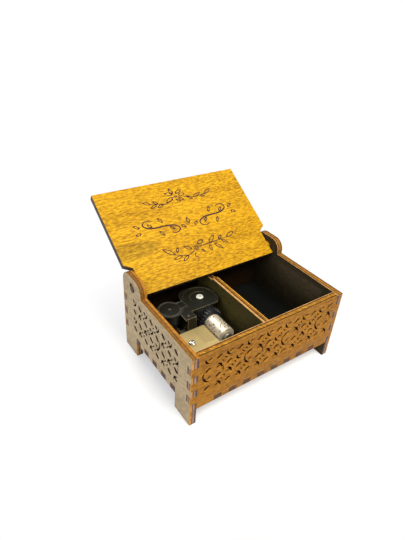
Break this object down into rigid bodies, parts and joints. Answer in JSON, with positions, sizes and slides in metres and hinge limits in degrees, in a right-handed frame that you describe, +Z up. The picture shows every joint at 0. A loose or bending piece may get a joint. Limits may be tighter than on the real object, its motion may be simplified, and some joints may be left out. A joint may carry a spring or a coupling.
{
  "type": "music box",
  "caption": "Small finger-jointed plywood music box on legs, with a swinging lid, pierced walls, a divided inside and a wind-up comb movement.",
  "frame": {"origin": "on the standing surface, under the middle of the open box's overall outline", "axes": "+X to the right of the pierced front, +Y to the back where the lid hinges, +Z up"},
  "size_m": [0.105, 0.117, 0.0861],
  "materials": {
    "plywood": "laser-cut birch plywood, oiled golden brown, dark cut edges",
    "lid_plywood": "oiled golden plywood with engraved ornament",
    "felt": "short black felt",
    "cast_base": "plated casting",
    "comb_steel": "tempered steel, straw tinted",
    "screw_steel": "plated screw steel",
    "case_steel": "drawn and plated",
    "spring_steel": "blued grey steel",
    "cylinder_steel": "bright turned",
    "black_bridge": "matte black",
    "black_plastic": "moulded, black",
    "fan_plastic": "moulded, white",
    "gear_plastic": "moulded, dark",
    "wheel_brass": "cut brass",
    "key_steel": "nickel plated"
  },
  "bodies": {
    "root": {"front_panel": "plywood", "back_panel": "plywood", "left_side_panel": "plywood", "right_side_panel": "plywood", "bottom_panel": "plywood", "partition": "plywood", "felt_floor": "felt", "bedplate": "cast_base", "comb": "comb_steel", "comb_screw": "screw_steel", "movement_screws": "screw_steel", "spring_case": "case_steel", "mainspring": "spring_steel", "bridge": "black_bridge", "bridge_screw": "screw_steel", "governor_housing": "black_plastic", "governor_cap": "black_plastic"},
    "lid": {"lid": "lid_plywood"},
    "winding": {"winding_arbor": "spring_steel", "winding_key": "key_steel"},
    "drive": {"great_wheel": "wheel_brass", "clutch_spring": "spring_steel"},
    "cylinder": {"pinned_cylinder": "cylinder_steel", "cylinder_gear": "gear_plastic", "cylinder_arbor": "spring_steel"},
    "governor_wheel": {"governor_pinion": "screw_steel", "worm_wheel": "wheel_brass"},
    "fan": {"governor_worm": "screw_steel", "governor_fan": "fan_plastic"}
  },
  "joints": [
    {"name": "lid_hinge", "type": "hinge", "parent": "root", "child": "lid", "pos_m": [0, 0.00454, 0.0501], "axis": [1, 0, 0], "range_deg": [0, 147]},
    {"name": "key_wind", "type": "hinge", "parent": "root", "child": "winding", "pos_m": [-0.0142, -0.00776, 0.02], "axis": [0, 0, 1], "continuous": true},
    {"name": "cylinder_turn", "type": "hinge", "parent": "root", "child": "cylinder", "pos_m": [-0.0142, -0.02896, 0.028], "axis": [0, 1, 0], "continuous": true},
    {"name": "great_wheel_turn", "type": "hinge", "parent": "root", "child": "drive", "pos_m": [-0.0142, -0.00776, 0.02], "axis": [0, 0, 1], "continuous": true},
    {"name": "governor_wheel_turn", "type": "hinge", "parent": "root", "child": "governor_wheel", "pos_m": [-0.0142, -0.00776, 0.02287], "axis": [-0.9575, -0.2884, 0], "continuous": true},
    {"name": "fan_turn", "type": "hinge", "parent": "root", "child": "fan", "pos_m": [-0.0356, -0.00866, 0.028], "axis": [0, 0, 1], "continuous": true}
  ],
  "couplings": [
    {"joint": "great_wheel_turn", "follows": "cylinder_turn", "ratio": -0.78125},
    {"joint": "governor_wheel_turn", "follows": "cylinder_turn", "ratio": -3.125},
    {"joint": "fan_turn", "follows": "cylinder_turn", "ratio": -56.25}
  ]
}
